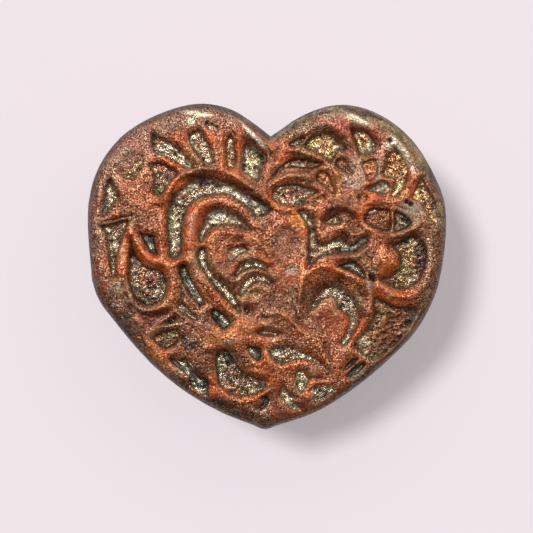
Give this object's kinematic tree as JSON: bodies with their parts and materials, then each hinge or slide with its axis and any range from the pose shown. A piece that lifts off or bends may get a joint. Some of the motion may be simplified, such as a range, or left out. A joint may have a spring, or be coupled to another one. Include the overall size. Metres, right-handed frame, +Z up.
{
  "type": "heart-shaped trinket box",
  "caption": "Small heart-shaped ceramic box with a loose lift-off lid, carved and copper-lustre glazed, for rings and other small things.",
  "frame": {"origin": "on the plane that the box stands on, under the middle of the outline's bounding box", "axes": "+Z up, the way the lid lifts; +Y towards the notch of the heart, so the point of the heart is at -Y; +X across the lobes"},
  "size_m": [0.0894, 0.0812, 0.036],
  "materials": {
    "copper_glaze": "copper-lustre raku glaze, mottled from orange copper to rose, olive and silver, with smoked black in the cuts",
    "smoked_clay": "bare clay, smoked grey-black, matt"
  },
  "bodies": {
    "base": {"base_floor": "copper_glaze", "base_wall": "copper_glaze"},
    "lid": {"lid_slab": "copper_glaze", "lid_flange": "smoked_clay"}
  },
  "joints": [
    {"name": "lid_lift", "type": "slide", "parent": "base", "child": "lid", "axis": [0, 0, 1], "range_m": [0, 0.06]}
  ]
}
